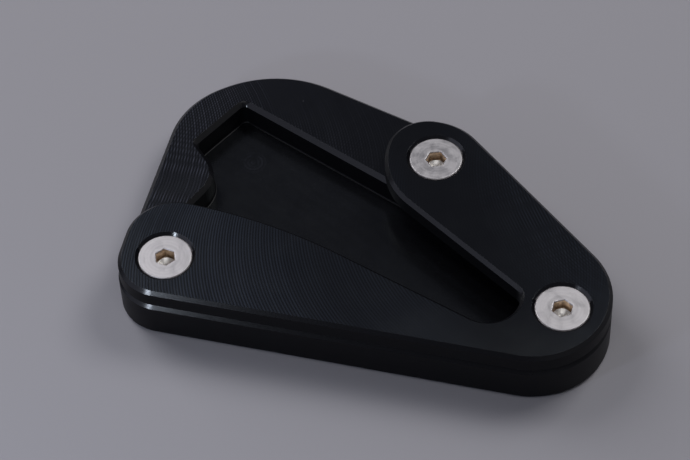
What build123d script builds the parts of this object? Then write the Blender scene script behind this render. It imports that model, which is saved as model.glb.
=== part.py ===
"""Foot enlarger for a motorbike's side stand.

A milled base plate takes the stand's foot in a pocket. A V-shaped clamp plate lies on the
base's rim, reaches over the edge of the foot from both sides and is held by three
countersunk screws.
"""
import os
from math import radians, tan

from build123d import *

# Millimetres. Plan positions are measured from the left screw's axis, with +X along the
# front side, and heights from the ground.

# Plate thicknesses and the bevels that break their edges
base_thickness = 10.0
clamp_thickness = 5.0
base_chamfer = 1.0
clamp_chamfer = 0.8

# Foot pocket
pocket_depth = 6.3
pocket_foot_radius = 0.4

# Screw axes
left_screw = (0.0, 0.0)
right_screw = (87.9, 4.6)
upper_screw = (52.4, 39.75)

# How far each screw's hexagon socket is turned, in degrees
left_socket_turn = 50.5
right_socket_turn = 29.0
upper_socket_turn = 17.0

# Countersunk screws
thread_diameter = 6.0
head_diameter = 12.0
head_land = 0.25
head_edge = 0.2
head_recess = 0.4
thread_tip_chamfer = 0.7
socket_width = 4.0
socket_depth = 2.9
socket_point_angle = 120.0
socket_lead_in = 0.2
countersink_angle = 90.0

# Clearances around the screws
seat_clearance = 0.05
clamp_hole_clearance = 0.3
thread_clearance = 0.1
thread_end_clearance = 1.1
hole_floor = 1.5

# Sides that both plates share
front_side = -10.7
right_side_foot = (128.9, front_side)
right_side_head = (57.1, 49.75)
nose_radius = 17.6
shoulder_radius = 14.0

# Base outline: x and y of each corner where two straight sides would meet, and its radius
base_corners = (
    (-11.0, front_side, 10.5),
    (*right_side_foot, nose_radius),
    (*right_side_head, shoulder_radius),
    (9.0, 63.8, 26.5),
    (-9.9, 48.5, 20.5),
)

# Foot pocket outline, round the nose on its left side
pocket_corners = (
    (-3.6, 10.95, 5.0),
    (79.4, -6.4, 7.0),
    (79.4, 12.2, 4.0),
    (49.3, 31.5, 25.0),
    (4.1, 50.7, 1.5),
    (-3.5, 36.8, 1.0),
    (4.55, 28.75, 8.0),
)

# Clamp outline: its left arm, its nose and its right arm, which ends in a round crown
clamp_left_side = -10.4
clamp_crown = 50.8
clamp_heel = 40.7
slot_end = 78.6


def point_on_side(start, end, y):
    """Point of the straight side from start to end that lies at y."""
    share = (y - start[1]) / (end[1] - start[1])
    return start[0] + share * (end[0] - start[0]), y


clamp_corners = (
    (clamp_left_side, front_side, 10.3),
    (*right_side_foot, nose_radius),
    (*point_on_side(right_side_foot, right_side_head, clamp_crown), shoulder_radius),
    (clamp_heel, clamp_crown, 9.5),
    (clamp_heel, 31.15, 17.5),
    (slot_end, 6.7, 3.2),
    (slot_end, -5.5, 7.2),
    (19.8, 15.2, 120.0),
    (clamp_left_side, 16.2, 10.8),
)


def fitted_radii(corners):
    """Corner radii, shortened where two arcs wouldn't fit on the side between them."""
    points = [Vector(x, y) for x, y, radius in corners]
    following = points[1:] + points[:1]
    reaches = []
    for index, (point, ahead) in enumerate(zip(points, following)):
        corner_angle = (points[index - 1] - point).get_angle(ahead - point)
        reaches.append(corners[index][2] / tan(radians(corner_angle / 2)))
    rooms = [
        (ahead - point).length / (reach + next_reach)
        for point, ahead, reach, next_reach in zip(points, following, reaches, reaches[1:] + reaches[:1])
    ]
    return [corner[2] * min(1, rooms[index - 1], rooms[index]) for index, corner in enumerate(corners)]


def rounded_outline(corners):
    """Closed outline of straight sides joined by tangent arcs."""
    FilletPolyline(*[(x, y) for x, y, radius in corners], radius=fitted_radii(corners), close=True)


# Sizes that follow from the ones above
top_height = base_thickness + clamp_thickness
head_height = top_height - head_recess
head_radius = head_diameter / 2
thread_radius = thread_diameter / 2
tapped_depth = base_thickness - hole_floor
head_cone = (head_radius - thread_radius) / tan(radians(countersink_angle / 2))
socket_point = socket_width / 2 / tan(radians(socket_point_angle / 2))
screw_length = clamp_thickness - head_recess + tapped_depth - thread_end_clearance
countersink_rise = (head_recess + head_land) * tan(radians(countersink_angle / 2))
countersink_radius = head_radius + countersink_rise + seat_clearance
screw_places = (left_screw, right_screw, upper_screw)
socket_turns = (left_socket_turn, right_socket_turn, upper_socket_turn)

# The part's origin is under the middle of the base's box, on the ground
with BuildSketch() as footprint:
    with BuildLine():
        rounded_outline(base_corners)
    make_face()

middle = footprint.sketch.bounding_box().center()
datum = Plane(origin=(-middle.X, -middle.Y, 0))

# Base plate
with BuildPart(datum) as base_plate:
    with BuildSketch(datum):
        with BuildLine():
            rounded_outline(base_corners)
        make_face()
    extrude(amount=base_thickness)
    with BuildSketch(datum.offset(base_thickness)):
        with BuildLine():
            rounded_outline(pocket_corners)
        make_face()
    extrude(amount=-pocket_depth, mode=Mode.SUBTRACT)
    underside, floor, rim = base_plate.faces().filter_by(Axis.Z).sort_by(Axis.Z)
    fillet(floor.edges(), radius=pocket_foot_radius)
    chamfer(underside.edges() + rim.edges(), length=base_chamfer)
    with Locations(*[(x, y, base_thickness) for x, y in screw_places]):
        Hole(radius=thread_radius + thread_clearance, depth=tapped_depth)

# Clamp plate
with BuildPart(datum) as clamp_plate:
    with BuildSketch(datum.offset(base_thickness)):
        with BuildLine():
            rounded_outline(clamp_corners)
        make_face()
    extrude(amount=clamp_thickness)
    chamfer(clamp_plate.faces().filter_by(Axis.Z).edges(), length=clamp_chamfer)
    with Locations(*[(x, y, top_height) for x, y in screw_places]):
        CounterSinkHole(
            radius=thread_radius + clamp_hole_clearance,
            counter_sink_radius=countersink_radius,
            depth=clamp_thickness,
            counter_sink_angle=countersink_angle,
        )

# One screw, with the middle of its head's top at the origin
with BuildPart() as screw:
    with BuildSketch(Plane.XZ):
        with BuildLine():
            Polyline(
                (0, 0),
                (head_radius - head_edge, 0),
                (head_radius, -head_edge),
                (head_radius, -head_land),
                (thread_radius, -head_land - head_cone),
                (thread_radius, thread_tip_chamfer - screw_length),
                (thread_radius - thread_tip_chamfer, -screw_length),
                (0, -screw_length),
                close=True,
            )
        make_face()
    revolve(axis=Axis.Z)
    with BuildSketch():
        RegularPolygon(socket_width / 2, 6, major_radius=False)
    extrude(amount=-socket_depth, mode=Mode.SUBTRACT)
    with Locations((0, 0, -socket_depth - socket_point / 2)):
        Cone(bottom_radius=0, top_radius=socket_width / 2, height=socket_point, mode=Mode.SUBTRACT)
    socket_mouth = screw.edges().filter_by(GeomType.LINE).group_by(Axis.Z)[-1]
    chamfer(socket_mouth, length=socket_lead_in)

# The three screws in their places
with BuildPart(datum) as countersunk_screws:
    for (x, y), turn in zip(screw_places, socket_turns):
        with Locations(Location((x, y, head_height), (0, 0, turn))):
            add(screw.part)

os.makedirs("parts", exist_ok=True)
base_plate.part.label = "base_plate"
clamp_plate.part.label = "clamp_plate"
countersunk_screws.part.label = "countersunk_screws"
export_step(base_plate.part, "parts/base_plate.step")
export_step(clamp_plate.part, "parts/clamp_plate.step")
export_step(countersunk_screws.part, "parts/countersunk_screws.step")
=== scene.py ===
"""Looks for a motorbike side stand's foot enlarger: two black anodised plates held by three screws."""
from math import atan2, cos, degrees, pi, radians, sin

import bmesh
import bpy
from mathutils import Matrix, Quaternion, Vector


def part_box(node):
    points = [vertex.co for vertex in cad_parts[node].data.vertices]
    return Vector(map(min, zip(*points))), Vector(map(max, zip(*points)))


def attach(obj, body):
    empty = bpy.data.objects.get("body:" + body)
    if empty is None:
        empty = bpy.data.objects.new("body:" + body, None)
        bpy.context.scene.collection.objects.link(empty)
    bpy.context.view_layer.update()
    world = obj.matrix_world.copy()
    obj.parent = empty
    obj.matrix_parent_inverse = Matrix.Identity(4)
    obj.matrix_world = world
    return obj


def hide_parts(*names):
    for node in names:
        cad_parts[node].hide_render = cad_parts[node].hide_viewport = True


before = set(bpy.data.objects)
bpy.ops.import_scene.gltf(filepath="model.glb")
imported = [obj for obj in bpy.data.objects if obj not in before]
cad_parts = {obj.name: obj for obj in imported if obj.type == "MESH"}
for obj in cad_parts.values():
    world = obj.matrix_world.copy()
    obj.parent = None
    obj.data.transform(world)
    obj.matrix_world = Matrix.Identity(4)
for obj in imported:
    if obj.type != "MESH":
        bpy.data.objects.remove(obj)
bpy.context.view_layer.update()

MM = 0.001

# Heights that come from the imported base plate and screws
base_low, base_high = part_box("base_plate")
ground = base_low.z
base_top = base_high.z
head_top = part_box("countersunk_screws")[1].z

# Screw axes, and how far a countersink and a socket reach from them
SCREW_AXES = [Vector(place) * MM for place in ((-43.73, -25.14), (44.17, -20.54), (8.67, 14.61))]
COUNTERSINK_REACH = 6.9 * MM
SOCKET_REACH = 2.4 * MM

# Middle of the foot pocket, which the inner walls of both plates face
POCKET_MIDDLE = Vector((-13.7, -5.0)) * MM

# How widely edges are broken, how deep a head's edge reaches and which edges count as hard
PLATE_EDGE_BREAK = 0.01 * MM
SCREW_EDGE_BREAK = 0.05 * MM
EDGE_SEGMENTS = 2
EDGE_DEPTH = 0.3 * MM
HARD_EDGE = radians(25)

# Limits for joining a CAD mesh's triangles into whole faces
SAME_PLANE = radians(0.4)
MERGE_DISTANCE = 0.0001 * MM

# Limits for telling faces apart: a bevel's height, and the upward parts of normals
BEVEL_ROOM = 1.1 * MM
LEVEL_FACE = 0.99
UPRIGHT_FACE = 0.2

# Ways that bevels and countersinks with a finish of their own face, in degrees to the right of the front:
# there they mirror more strongly, as painted highlight, and less elsewhere, as painted shade
PAINTED_SOFT_HIGHLIGHT_BEVELS = (40, 100)
PAINTED_HIGHLIGHT_BEVELS = (-62, 105)
PAINTED_HIGHLIGHT_COUNTERSINKS = (-62, 82)

# Passes of the face mill, in millimetres: where they are measured from, and their arcs
MILL_START = (-43.7, -25.1)
CLAMP_MILL_SLANT = radians(33)
CLAMP_MILL_OFFSET = 19
CLAMP_MILL_RADIUS = 50
CLAMP_MILL_PITCH = 0.667
RIM_MILL_OFFSET = -24
RIM_MILL_RADIUS = 52
RIM_MILL_PITCH = 0.69
RIM_MILL_LAG = 0.12

# Places of other marks, in millimetres: the cutter's swirl, the nose and the heads' collars; and the depths
# down a socket over which painted shade darkens its walls
SWIRL_PLACE = (-34.5, 13.5, 3.7)
NOSE_STRETCH = (36, 50)
COLLAR_RADIUS = 3.1
PAINTED_SHADE_DEPTHS = (0.7, 2.7)

# Depths of the marks in the metal
MILL_MARK_DEPTH = 0.005 * MM
SIDE_MARK_DEPTH = 0.004 * MM
POCKET_MARK_DEPTH = 0.003 * MM
HEAD_MARK_DEPTH = 0.003 * MM

# Black anodising: its colours, the painted sheen on the crests of its milling marks, its sheen and how it
# bends light
BLACK = (0.0025, 0.0025, 0.0035, 1)
# Crest colours of the milled tops: painted sheen where the marks' crests catch the light
CLAMP_PAINTED_SHEEN = (0.02, 0.0245, 0.035, 1)
RIM_PAINTED_SHEEN = (0.058, 0.0605, 0.081, 1)
# The pocket floor's crest colour: partly real marks, partly painted sheen
POCKET_PAINTED_SHEEN = (0.02, 0.021, 0.027, 1)
SIDE_CREST = (0.0054, 0.0055, 0.007, 1)
SPECK = (0.2, 0.2, 0.22, 1)
OXIDE_SHEEN = (0.88, 0.96, 1, 1)
OXIDE_IOR = 1.6

# Stainless steel: its colours, and how strongly its stains and its painted shade darken it
STEEL = (0.71, 0.684, 0.69, 1)
STEEL_DULL = (0.48, 0.46, 0.47, 1)
STEEL_EDGE = (0.6, 0.57, 0.58, 1)
# Dark steel for the shanks and the heads' undersides: painted shade of the countersinks
STEEL_SHADED = (0.1, 0.095, 0.09, 1)
SOCKET_WALL = (0.74, 0.6, 0.46, 1)
SOCKET_FLOOR = (0.95, 0.93, 0.9, 1)
STAIN_AND_SHADE_SHARE = 0.4

# Camera
CAMERA_AZIMUTH = radians(15.93)
CAMERA_ELEVATION = radians(51.93)
CAMERA_ROLL = radians(-3.05)
CAMERA_DISTANCE = 564.3 * MM
CAMERA_TARGET = Vector((-6.7, -9.6, 14.6)) * MM
LENS_LENGTH = 133.0
SENSOR_WIDTH = 36.0

# Stage
FLOOR_SIZE = 4.0
FLOOR_COLOUR = (0.33, 0.32, 0.345, 1)
FLOOR_ROUGHNESS = 0.7
WORLD_COLOUR = (0.064, 0.065, 0.08, 1)

# Lamps, the last one small for sharp glints: name, azimuth, elevation, distance, size, brightness, colour
LAMPS = (
    ("back_right", 139, 53, 0.8, (0.34, 0.34), 5.8, (1, 1, 1)),
    ("back_left", 241, 40, 0.8, (0.36, 0.7), 3.6, (0.96, 0.965, 1)),
    ("front_top", 16, 66, 0.8, (0.46, 0.24), 2.0, (1, 1, 1)),
    ("front_left", -62, 26, 0.8, (0.95, 0.4), 0.46, (0.77, 0.8, 1)),
    ("front_spot", -31.8, 29.1, 0.245, (0.022, 0.022), 47.0, (0.76, 0.85, 1)),
)


class Wire:
    """An output socket that takes part in plain arithmetic."""

    def __init__(self, finish, socket):
        self.finish = finish
        self.socket = socket

    def math(self, operation, *others, turned=False):
        """A Math node on this value and others; turned puts this value last."""
        values = (*others, self) if turned else (self, *others)
        return self.finish.node("Math", {"operation": operation}, dict(enumerate(values)))[0]

    def __add__(self, other):
        return self.math("ADD", other)

    def __sub__(self, other):
        return self.math("SUBTRACT", other)

    def __rsub__(self, other):
        return self.math("SUBTRACT", other, turned=True)

    def __mul__(self, other):
        return self.math("MULTIPLY", other)

    def __truediv__(self, other):
        return self.math("DIVIDE", other)

    def __rtruediv__(self, other):
        return self.math("DIVIDE", other, turned=True)

    __radd__ = __add__
    __rmul__ = __mul__

    def fade(self, start, end, low=0.0, high=1.0):
        """Goes smoothly from low to high while this value goes from start to end."""
        settings = {"interpolation_type": "SMOOTHSTEP"}
        return self.finish.node("MapRange", settings, {0: self, 1: start, 2: end, 3: low, 4: high})[0]


class Finish:
    """A procedural material: its shader and the nodes that feed it."""

    def __init__(self, name):
        self.material = bpy.data.materials.new(name)
        self.material.use_nodes = True
        self.tree = self.material.node_tree
        self.shader = self.tree.nodes["Principled BSDF"]

    def feed(self, node, inputs):
        """Sets or links a node's sockets, given by name or number."""
        for key, value in inputs.items():
            if isinstance(value, Wire):
                self.tree.links.new(value.socket, node.inputs[key])
            else:
                node.inputs[key].default_value = value

    def node(self, kind, settings=None, inputs=None):
        """Adds a node: its type, its settings, then its sockets. Returns its outputs."""
        node = self.tree.nodes.new("ShaderNode" + kind)
        for key, value in (settings or {}).items():
            setattr(node, key, value)
        self.feed(node, inputs or {})
        return [Wire(self, socket) for socket in node.outputs]

    def place(self):
        """The point's own place on the part, in millimetres: as a vector, then x, y and z."""
        place = self.node("TexCoord")[3]
        scaled = self.node("VectorMath", {"operation": "SCALE"}, {0: place, "Scale": 1 / MM})[0]
        return scaled, *self.node("SeparateXYZ", None, {0: scaled})

    def stretched(self, vector, shares):
        """A vector with each of its three parts multiplied by its own share."""
        return self.node("VectorMath", {"operation": "MULTIPLY"}, {0: vector, 1: shares})[0]

    def distance(self, vector, point):
        """How far a vector's end is from a point."""
        return self.node("VectorMath", {"operation": "DISTANCE"}, {0: vector, 1: point})[1]

    def noise(self, vector, scale, detail=2.0):
        """Soft noise from 0 to 1; scale is in features per millimetre."""
        return self.node("TexNoise", None, {"Vector": vector, "Scale": scale, "Detail": detail})[0]

    def blend(self, share, first, second):
        """A colour between two others."""
        return self.node("Mix", {"data_type": "RGBA"}, {0: share, 6: first, 7: second})[2]

    def crests(self, turns):
        """Rounded crests from 0 to 1, one per whole turn, each with its own height."""
        own = self.node("TexWhiteNoise", {"noise_dimensions": "1D"}, {"W": turns.math("FLOOR")})[0]
        return (0.5 - (turns * (2 * pi)).math("COSINE") * 0.5) * (own * 0.3 + 0.7)

    def specks(self, vector, spacing, size):
        """A few tiny dots: about one in four cells of that spacing holds one."""
        cells = self.node("TexVoronoi", None, {"Vector": vector, "Scale": 1 / spacing})
        chosen = self.node("SeparateColor", None, {0: cells[1]})[0].math("GREATER_THAN", 0.75)
        return chosen * cells[0].math("LESS_THAN", size / spacing)

    def bump(self, height, depth):
        """Normal of a surface with that relief; depth is in metres."""
        return self.node("Bump", None, {"Strength": 1.0, "Distance": depth, "Height": height})[0]

    def set(self, **inputs):
        """Feeds the shader; underscores stand for spaces in a socket's name."""
        self.feed(self.shader, {key.replace("_", " "): value for key, value in inputs.items()})
        return self.material


def mill_place(x, y):
    """A point's place, measured from where the mill's passes start."""
    return x - MILL_START[0], y - MILL_START[1]


def mill_arcs(along, across, radius, pitch, side):
    """Turns of the arcs that a face mill leaves: side is 1 for its rear edge, -1 for its front edge."""
    return (along + (radius ** 2 - across * across).math("SQRT") * side) / pitch


def clamp_relief_and_sheen(finish, x, y):
    """Relief of the clamp plate's top, from one slanting pass of the mill, and where it is dull. The relief
    also sets the painted sheen, strong on the left arm and faint on the right.
    """
    u, v = mill_place(x, y)
    along = u * cos(CLAMP_MILL_SLANT) + v * sin(CLAMP_MILL_SLANT)
    across = v * cos(CLAMP_MILL_SLANT) - u * sin(CLAMP_MILL_SLANT) + CLAMP_MILL_OFFSET
    rear_arcs = finish.crests(mill_arcs(along, across, CLAMP_MILL_RADIUS, CLAMP_MILL_PITCH, 1))
    front_arcs = finish.crests(mill_arcs(along, across, CLAMP_MILL_RADIUS, CLAMP_MILL_PITCH, -1))
    weave = (rear_arcs * 0.5 + front_arcs * 0.5).math("POWER", 2.0)
    # Painted sheen: the crests light up strongly on the left arm and faintly on the right; the bump follows
    # the same weights
    left_arm = rear_arcs * (along.fade(12, 34, 1, 0.4) - along.fade(48, 60, 0, 0.36))
    right_arm = weave * along.fade(64, 86, 0, 0.7)
    dullness = v.fade(-10, 8, 1, 0) * u.fade(40, 62)
    return left_arm + right_arm, dullness


def rim_relief_and_sheen(finish, x, y):
    """Relief of the base plate's rim, where the arcs of both the mill's edges cross; it is dull nowhere.
    The relief also sets the painted sheen, strongest at the rim's left end.
    """
    along, v = mill_place(x, y)
    across = v + RIM_MILL_OFFSET
    front_turns = mill_arcs(along, across, RIM_MILL_RADIUS, RIM_MILL_PITCH, -1)
    rear_turns = mill_arcs(along, across, RIM_MILL_RADIUS, RIM_MILL_PITCH, 1) - RIM_MILL_LAG
    weave = (finish.crests(front_turns) * 0.65 + finish.crests(rear_turns) * 0.35).math("POWER", 3.0)
    # Painted sheen and bump fade from the rim's left end towards its right
    strength = along.fade(-2, 12, 1, 0.28) - along.fade(28, 42, 0, 0.14)
    return weave * strength, 0


def milled_anodise(name, relief_and_sheen_of, painted_sheen):
    """Dyed oxide over the arcs that a face mill leaves: near black, slightly blue, satin, with a painted
    sheen on the arcs' crests.
    """
    finish = Finish(name)
    place, x, y, z = finish.place()
    relief, dullness = relief_and_sheen_of(finish, x, y)
    patches = finish.noise(place, 0.12, 3.0)
    # Painted sheen: the crests of the relief are coloured lighter
    colour = finish.blend(relief, BLACK, painted_sheen)
    colour = finish.blend(finish.specks(place, 5.0, 0.08), colour, SPECK)
    return finish.set(
        Base_Color=colour,
        Roughness=patches * 0.08 + (dullness * 0.06 + 0.14),
        IOR=OXIDE_IOR,
        Specular_Tint=OXIDE_SHEEN,
        Normal=finish.bump(relief, MILL_MARK_DEPTH),
    )


def pocket_anodise(name, swirl):
    """Smooth satin floor with a faint swirl where the cutter plunged, and a few specks; the marks' lighter
    crests are partly real marks, partly painted sheen.
    """
    finish = Finish(name)
    place, x, y, z = finish.place()
    radius = finish.distance(place, swirl)
    broken = finish.noise(place, 0.4).fade(0.35, 0.55)
    rings = finish.crests(radius * 1.2) * radius.fade(2, 3.6, 1, 0) * broken
    passes = finish.crests((x * 0.55 + y) * 0.3 + finish.noise(place, 0.05))
    grain = finish.noise(place, 2.0, 3.0).fade(0.5, 0.8)
    relief = rings * 0.4 + passes * 0.05 + grain * 0.2
    # Partly painted sheen: the swirl, passes and grain are coloured lighter
    colour = finish.blend(relief, BLACK, POCKET_PAINTED_SHEEN)
    colour = finish.blend(finish.specks(place, 4.0, 0.14), colour, SPECK)
    return finish.set(
        Base_Color=colour,
        Roughness=finish.noise(place, 0.15, 3.0) * 0.08 + 0.16,
        IOR=OXIDE_IOR,
        Specular_Tint=OXIDE_SHEEN,
        Normal=finish.bump(relief, POCKET_MARK_DEPTH),
    )


def side_anodise(name, level, roughness, nose_roughness=None):
    """Side milled wall or bevel: fine upright cutter marks; level is how strongly it mirrors.

    nose_roughness is its roughness at the right nose, where that differs.
    """
    finish = Finish(name)
    place, x, y, z = finish.place()
    marks = finish.noise(finish.stretched(place, (2.5, 2.5, 0.06)), 1.0, 3.0)
    return finish.set(
        Base_Color=finish.blend(marks, BLACK, SIDE_CREST),
        Roughness=marks * 0.08 + x.fade(*NOSE_STRETCH, roughness, nose_roughness or roughness),
        IOR=OXIDE_IOR,
        Specular_IOR_Level=level,
        Normal=finish.bump(marks, SIDE_MARK_DEPTH),
    )


def axis_distance(finish, x, y):
    """How far a point is from the nearest screw's axis, in millimetres."""
    flat = finish.node("CombineXYZ", None, {0: x, 1: y})[0]
    left, right, upper = [finish.distance(flat, (*axis / MM, 0)) for axis in SCREW_AXES]
    return left.math("MINIMUM", right.math("MINIMUM", upper))


def turned_steel(name):
    """Faced stainless head: faint rings, a dull mottle and a ring round the socket."""
    finish = Finish(name)
    place, x, y, z = finish.place()
    radius = axis_distance(finish, x, y)
    rings = finish.crests(radius * 1.3 + finish.noise(place, 0.3) * 0.5)
    mottle = finish.noise(place, 0.5, 2.0).fade(0.3, 0.7)
    collar = (radius - COLLAR_RADIUS).math("ABSOLUTE").fade(0.1, 0.45, 1, 0)
    dull = rings * 0.2 + mottle * 0.3 + collar * 0.25
    return finish.set(
        Base_Color=finish.blend(dull, STEEL, STEEL_DULL),
        Metallic=1.0,
        Roughness=mottle * 0.12 + rings * 0.04 + 0.32,
        Normal=finish.bump(rings * 0.5 + mottle * 0.5, HEAD_MARK_DEPTH),
    )


def stained_and_shaded_steel(name, colour, roughness, soft_stain=0.4, deep_painted_shade=0.0):
    """Pressed or drilled steel with soft, cloudy stains, and painted shade that deepens down a socket."""
    finish = Finish(name)
    place, x, y, z = finish.place()
    cloud = finish.noise(place, 1.4, 3.0)
    depth = head_top / MM - z
    # The cloudy stain is real; the darkening down the socket is painted shade
    stain_and_shade = cloud.fade(0.35, 0.7) * soft_stain + depth.fade(*PAINTED_SHADE_DEPTHS, 0, deep_painted_shade)
    stained_and_shaded = [STAIN_AND_SHADE_SHARE * part ** 2 for part in colour[:3]]
    return finish.set(
        Base_Color=finish.blend(stain_and_shade, colour, (*stained_and_shaded, 1)),
        Metallic=1.0,
        Roughness=cloud * 0.15 + roughness,
    )


def axis_reach(face):
    """How far a face's middle is from the nearest screw's axis."""
    middle = face.calc_center_median().xy
    return min((middle - axis).length for axis in SCREW_AXES)


def faces_pocket(face):
    """Whether an upright or sloping face looks in towards the foot pocket."""
    return (POCKET_MIDDLE - face.calc_center_median().xy).dot(face.normal.xy) > 0


def turn_of(face):
    """Way that a sloping face looks, in degrees to the right of the front."""
    return degrees(atan2(face.normal.x, -face.normal.y))


def bevel_finish(face):
    """Name of the finish that a bevel of either plate gets, by the way it faces: painted highlight, soft
    painted highlight or painted shade.
    """
    turn = turn_of(face)
    if faces_pocket(face) and PAINTED_SOFT_HIGHLIGHT_BEVELS[0] < turn < PAINTED_SOFT_HIGHLIGHT_BEVELS[1]:
        return "painted_soft_highlight_bevels"
    return "painted_highlight_bevels" if PAINTED_HIGHLIGHT_BEVELS[0] < turn < PAINTED_HIGHLIGHT_BEVELS[1] else "painted_shade_bevels"


def countersink_finish(face):
    """Name of the finish that a face of a countersink gets, by the way it faces: painted highlight or
    painted shade.
    """
    bright = PAINTED_HIGHLIGHT_COUNTERSINKS[0] < turn_of(face) < PAINTED_HIGHLIGHT_COUNTERSINKS[1]
    return "painted_highlight_countersinks" if bright else "painted_shade_countersinks"


def clamp_finish(face):
    """Name of the finish that a face of the clamp plate gets."""
    if abs(face.normal.z) > LEVEL_FACE:
        return "clamp_faces"
    if abs(face.normal.z) < UPRIGHT_FACE:
        return "slot_walls" if faces_pocket(face) else "clamp_walls"
    if axis_reach(face) < COUNTERSINK_REACH and face.normal.z > UPRIGHT_FACE:
        return countersink_finish(face)
    return bevel_finish(face)


def base_finish(face):
    """Name of the finish that a face of the base plate gets."""
    height = face.calc_center_median().z
    inside = ground + BEVEL_ROOM < height < base_top - BEVEL_ROOM
    if abs(face.normal.z) > LEVEL_FACE:
        return "pocket_floor" if inside else "base_faces"
    if abs(face.normal.z) < UPRIGHT_FACE:
        return "pocket_walls" if faces_pocket(face) else "base_walls"
    return "pocket_foot" if inside else bevel_finish(face)


def screw_finish(face):
    """Name of the finish that a face of a screw gets."""
    depth = head_top - face.calc_center_median().z
    if depth < EDGE_DEPTH:
        return "heads" if face.normal.z > LEVEL_FACE else "screw_edges"
    if axis_reach(face) > SOCKET_REACH or face.normal.z < -UPRIGHT_FACE:
        return "shanks"
    return "socket_floors" if face.normal.z > UPRIGHT_FACE else "socket_walls"


def smoothed_copy(node, piece_name, finishes, finish_of, edge_width, broken_above=ground - EDGE_DEPTH):
    """Stands for a CAD node: its flat faces made whole, and its hard edges above a height lightly broken.

    finishes are materials by name, and finish_of names the one that a face gets.
    """
    names = list(finishes)
    shape = bmesh.new()
    shape.from_mesh(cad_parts[node].data)
    bmesh.ops.remove_doubles(shape, verts=shape.verts, dist=MERGE_DISTANCE)
    bmesh.ops.dissolve_limit(shape, angle_limit=SAME_PLANE, verts=shape.verts, edges=shape.edges)
    for face in shape.faces:
        face.smooth = True
        face.material_index = names.index(finish_of(face))
    break_shares = shape.edges.layers.float.new("bevel_weight_edge")
    for edge in shape.edges:
        hard = edge.calc_face_angle(0) > HARD_EDGE
        broken = hard and edge.verts[0].co.z > broken_above
        edge[break_shares] = float(broken)
        edge.smooth = broken or not hard
    mesh = bpy.data.meshes.new(piece_name)
    shape.to_mesh(mesh)
    shape.free()
    for finish in finishes.values():
        mesh.materials.append(finish)
    piece = bpy.data.objects.new(piece_name, mesh)
    bpy.context.scene.collection.objects.link(piece)
    edge_break = piece.modifiers.new("edge break", "BEVEL")
    edge_break.width = edge_width
    edge_break.segments = EDGE_SEGMENTS
    edge_break.limit_method = "WEIGHT"
    edge_break.use_clamp_overlap = False
    level_shading = piece.modifiers.new("level shading", "WEIGHTED_NORMAL")
    level_shading.mode = "FACE_AREA"
    level_shading.keep_sharp = True
    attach(piece, "root")
    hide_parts(node)
    return piece


def direction(azimuth, elevation):
    """Unit vector from the part; azimuth 0 is its front, 90 degrees its right."""
    return Vector((sin(azimuth) * cos(elevation), -cos(azimuth) * cos(elevation), sin(elevation)))


def area_lamp(name, azimuth, elevation, distance, size, brightness, colour):
    """A rectangular lamp that faces the part: the larger it is, the softer its light."""
    lamp = bpy.data.lights.new(name, "AREA")
    lamp.shape = "RECTANGLE"
    lamp.size, lamp.size_y = size
    lamp.energy = brightness * pi * size[0] * size[1]
    lamp.color = colour
    box = bpy.data.objects.new(name, lamp)
    bpy.context.scene.collection.objects.link(box)
    way = direction(radians(azimuth), radians(elevation))
    box.location = way * distance
    box.rotation_euler = way.to_track_quat("Z", "Y").to_euler()
    box.visible_camera = False


# Plates
# Lit and shaded copies of one bevel finish, differing only in how strongly and sharply they mirror: painted
# highlight and painted shade
bevel_finishes = {
    "painted_highlight_bevels": side_anodise("bright_bevels_milled", level=0.34, roughness=0.17, nose_roughness=0.45),
    "painted_soft_highlight_bevels": side_anodise("satin_bevels_milled", level=0.25, roughness=0.45),
    "painted_shade_bevels": side_anodise("dull_bevels_milled", level=0.17, roughness=0.3),
}
clamp_finishes = {
    "clamp_faces": milled_anodise("clamp_faces_milled", clamp_relief_and_sheen, CLAMP_PAINTED_SHEEN),
    "clamp_walls": side_anodise("clamp_walls_milled", level=0.09, roughness=0.42),
    "slot_walls": side_anodise("slot_walls_milled", level=0.06, roughness=0.5),
    # Lit and shaded copies of one countersink finish: painted highlight on faces towards the front, painted
    # shade on the rest
    "painted_highlight_countersinks": side_anodise("bright_countersinks_milled", level=0.5, roughness=0.1),
    "painted_shade_countersinks": side_anodise("dull_countersinks_milled", level=0.02, roughness=0.5),
    **bevel_finishes,
}
clamp_plate = smoothed_copy(
    "clamp_plate", "clamp_plate_milled", clamp_finishes, clamp_finish, PLATE_EDGE_BREAK
)

base_finishes = {
    "base_faces": milled_anodise("base_faces_milled", rim_relief_and_sheen, RIM_PAINTED_SHEEN),
    "base_walls": side_anodise("base_walls_milled", level=0.12, roughness=0.42),
    "pocket_walls": side_anodise("pocket_walls_milled", level=0.06, roughness=0.5),
    "pocket_foot": side_anodise("pocket_foot_milled", level=0.12, roughness=0.35),
    "pocket_floor": pocket_anodise("pocket_floor_milled", SWIRL_PLACE),
    **bevel_finishes,
}
base_plate = smoothed_copy("base_plate", "base_plate_milled", base_finishes, base_finish, PLATE_EDGE_BREAK)

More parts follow.
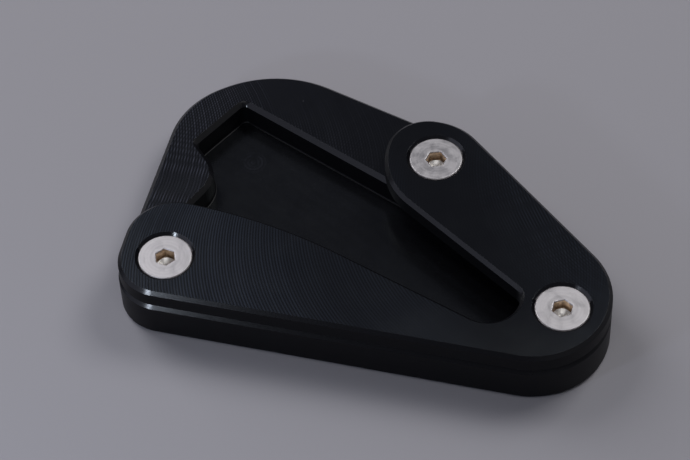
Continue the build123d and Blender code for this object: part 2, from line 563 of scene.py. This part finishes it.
# Screws
screw_finishes = {
    "heads": turned_steel("heads_turned"),
    "screw_edges": stained_and_shaded_steel("screw_edges_bright", STEEL_EDGE, roughness=0.42),
    # Shanks and the heads' undersides: steel darkened as painted shade
    "shanks": stained_and_shaded_steel("shanks_painted_shade", STEEL_SHADED, roughness=0.4),
    # Painted shade: the socket walls darken towards their foot
    "socket_walls": stained_and_shaded_steel("socket_walls_pressed", SOCKET_WALL, roughness=0.3, deep_painted_shade=0.85),
    "socket_floors": stained_and_shaded_steel("socket_floors_drilled", SOCKET_FLOOR, roughness=0.36, soft_stain=0.1),
}
screws = smoothed_copy(
    "countersunk_screws", "countersunk_screws_turned", screw_finishes, screw_finish, SCREW_EDGE_BREAK,
    broken_above=head_top - EDGE_DEPTH,
)

# Floor
floor_mesh = bpy.data.meshes.new("floor")
floor_shape = bmesh.new()
bmesh.ops.create_grid(floor_shape, x_segments=1, y_segments=1, size=FLOOR_SIZE / 2)
floor_shape.to_mesh(floor_mesh)
floor_shape.free()
floor = bpy.data.objects.new("floor", floor_mesh)
bpy.context.scene.collection.objects.link(floor)
floor_finish = Finish("pale_floor")
floor_mesh.materials.append(floor_finish.set(Base_Color=FLOOR_COLOUR, Roughness=FLOOR_ROUGHNESS))

# Light
world = bpy.data.worlds.new("studio")
world.use_nodes = True
world.node_tree.nodes["Background"].inputs["Color"].default_value = WORLD_COLOUR
bpy.context.scene.world = world
for lamp_values in LAMPS:
    area_lamp(*lamp_values)

# Camera
camera_data = bpy.data.cameras.new("camera")
camera_data.lens = LENS_LENGTH
camera_data.sensor_width = SENSOR_WIDTH
camera_data.sensor_fit = "HORIZONTAL"
camera = bpy.data.objects.new("camera", camera_data)
bpy.context.scene.collection.objects.link(camera)
towards_camera = direction(CAMERA_AZIMUTH, CAMERA_ELEVATION)
camera.location = CAMERA_TARGET + towards_camera * CAMERA_DISTANCE
upright = towards_camera.to_track_quat("Z", "Y")
camera.rotation_euler = (upright @ Quaternion((0, 0, 1), CAMERA_ROLL)).to_euler()
bpy.context.scene.camera = camera

bpy.context.scene.view_settings.view_transform = "Standard"
